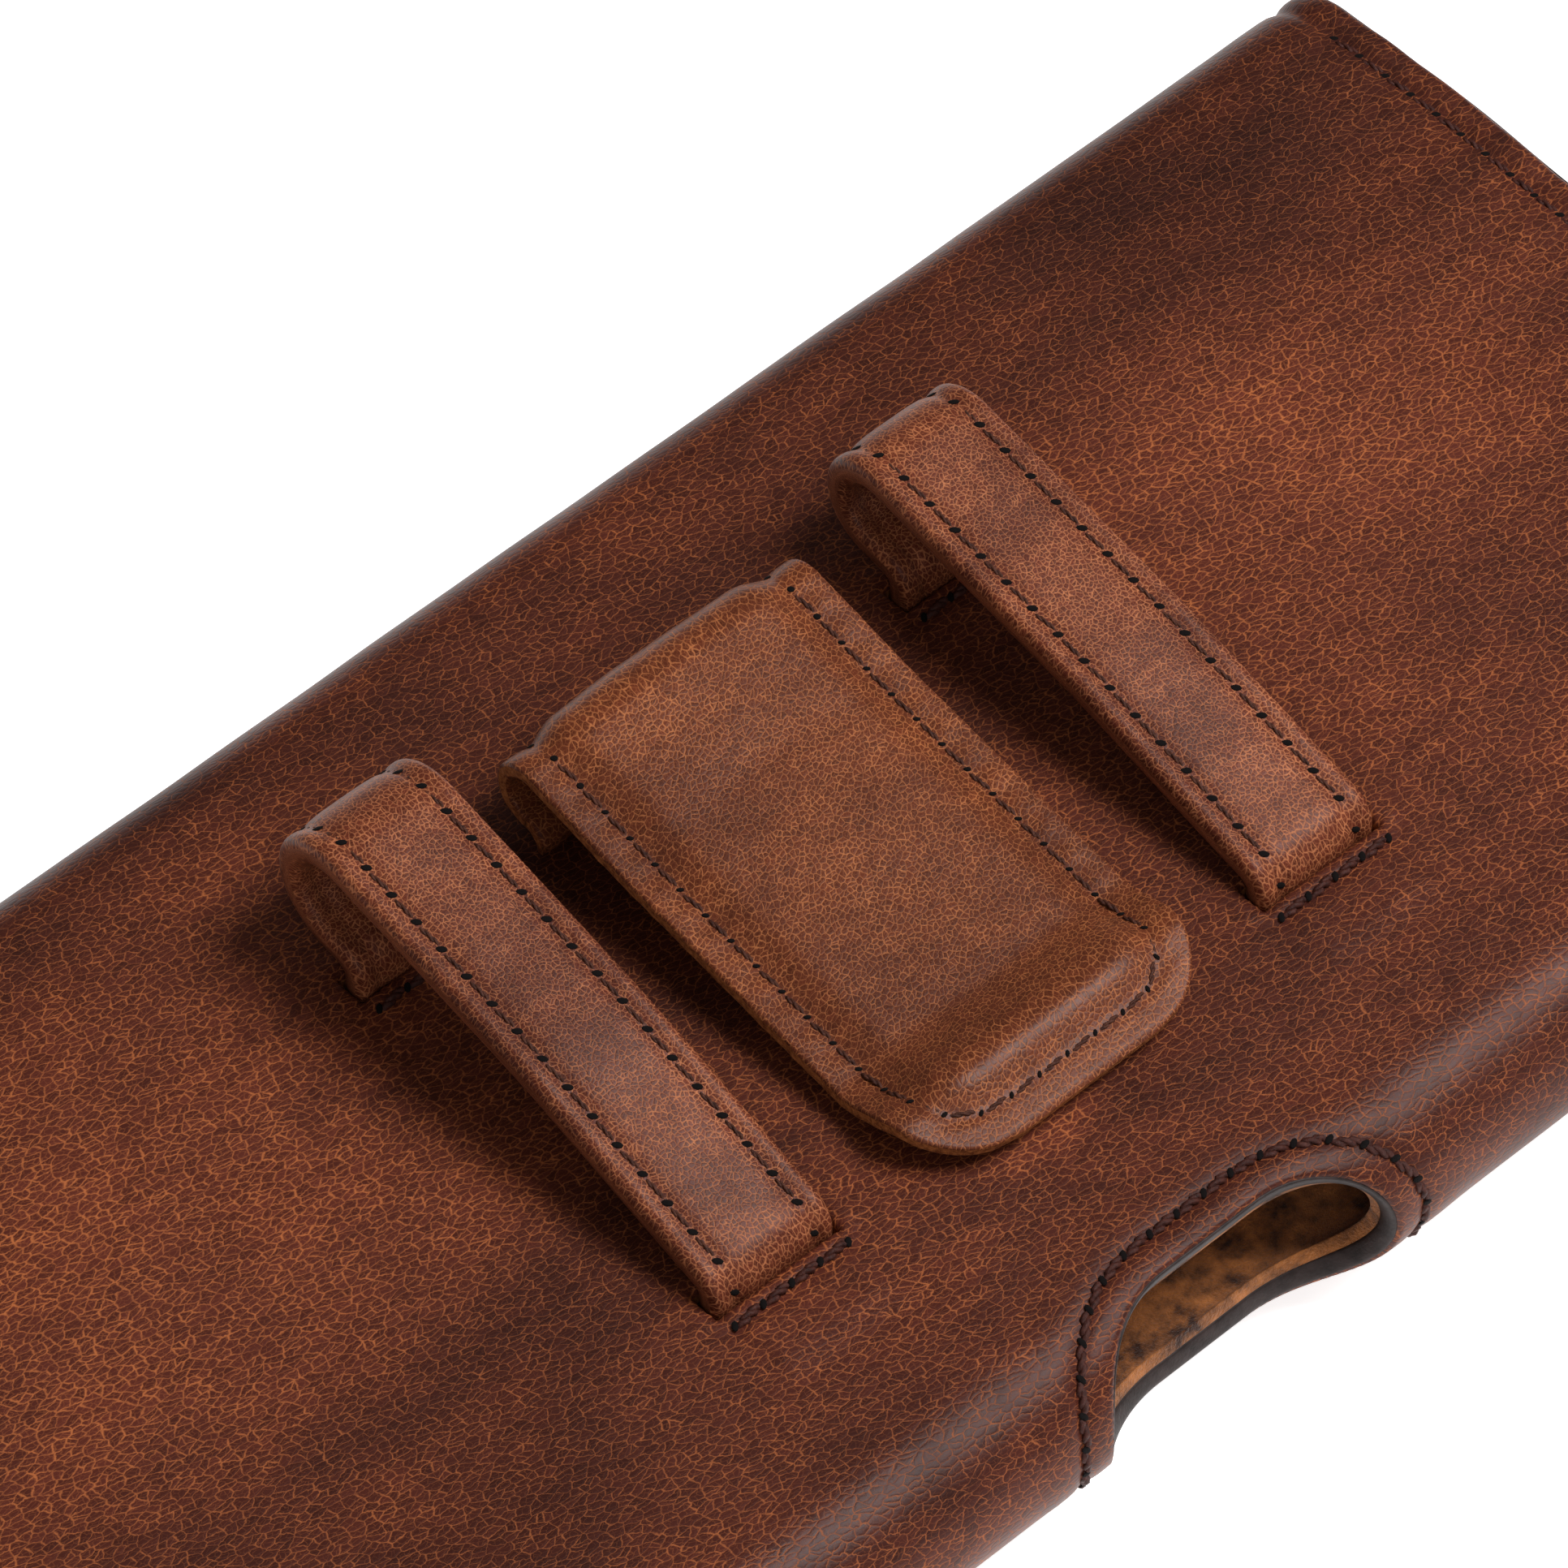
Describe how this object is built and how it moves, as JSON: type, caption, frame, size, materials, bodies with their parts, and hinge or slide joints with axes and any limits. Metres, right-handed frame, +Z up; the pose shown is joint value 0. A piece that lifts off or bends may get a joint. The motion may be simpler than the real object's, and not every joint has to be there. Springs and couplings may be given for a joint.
{
  "type": "leather belt pouch",
  "caption": "Flat horizontal leather pouch with a magnetic flap, sewn belt loops, a leather covered spring clip and an oval push-out hole in its bottom fold.",
  "frame": {"origin": "middle of the footprint, on the surface that the pouch lies on, flap down and belt side up", "axes": "+X along the pouch's length, +Y from the bottom fold to the flap's crease, +Z up out of the back panel"},
  "size_m": [0.192, 0.0974, 0.0346],
  "materials": {
    "shell_leather": "burnished antique brown leather, satin",
    "strap_leather": "burnished reddish brown leather, satin",
    "clip_leather": "burnished tan brown leather with raw cut edges",
    "suede": "tan suede, matt",
    "stiffener": "pressed fibre board, matt",
    "tape": "woven reinforcing tape",
    "thread": "waxed dark brown twisted thread",
    "spring_steel": "bright rolled spring steel",
    "magnet": "nickel plated"
  },
  "bodies": {
    "pouch": {"shell_leather": "shell_leather", "shell_core": "stiffener", "shell_lining": "suede", "left_gusset": "shell_leather", "right_gusset": "shell_leather", "keeper_discs": "magnet", "left_loop_strap": "strap_leather", "left_loop_tape": "tape", "right_loop_strap": "strap_leather", "right_loop_tape": "tape", "bar_tacks": "thread", "crease_leather": "shell_leather", "crease_lining": "suede", "clip_spring_base": "spring_steel", "clip_spring_bend": "spring_steel", "clip_cover_bend": "clip_leather", "clip_lining_bend": "clip_leather"},
    "flap": {"flap_leather": "shell_leather", "flap_core": "stiffener", "flap_lining": "suede", "flap_magnets": "magnet"},
    "clip": {"clip_spring_blade": "spring_steel", "clip_cover_blade": "clip_leather", "clip_lining_blade": "clip_leather"}
  },
  "joints": [
    {"name": "flap_crease", "type": "hinge", "parent": "pouch", "child": "flap", "pos_m": [0, 0.044, 0.0185], "axis": [1, 0, 0], "range_deg": [0, 170], "deforming": ["crease_leather", "crease_lining"]},
    {"name": "clip_flex", "type": "hinge", "parent": "pouch", "child": "clip", "pos_m": [0, 0.0222, 0.02555], "axis": [-1, 0, 0], "range_deg": [0, 18], "stiffness_Nm_per_rad": 2, "deforming": ["clip_spring_bend", "clip_cover_bend", "clip_lining_bend"]}
  ]
}
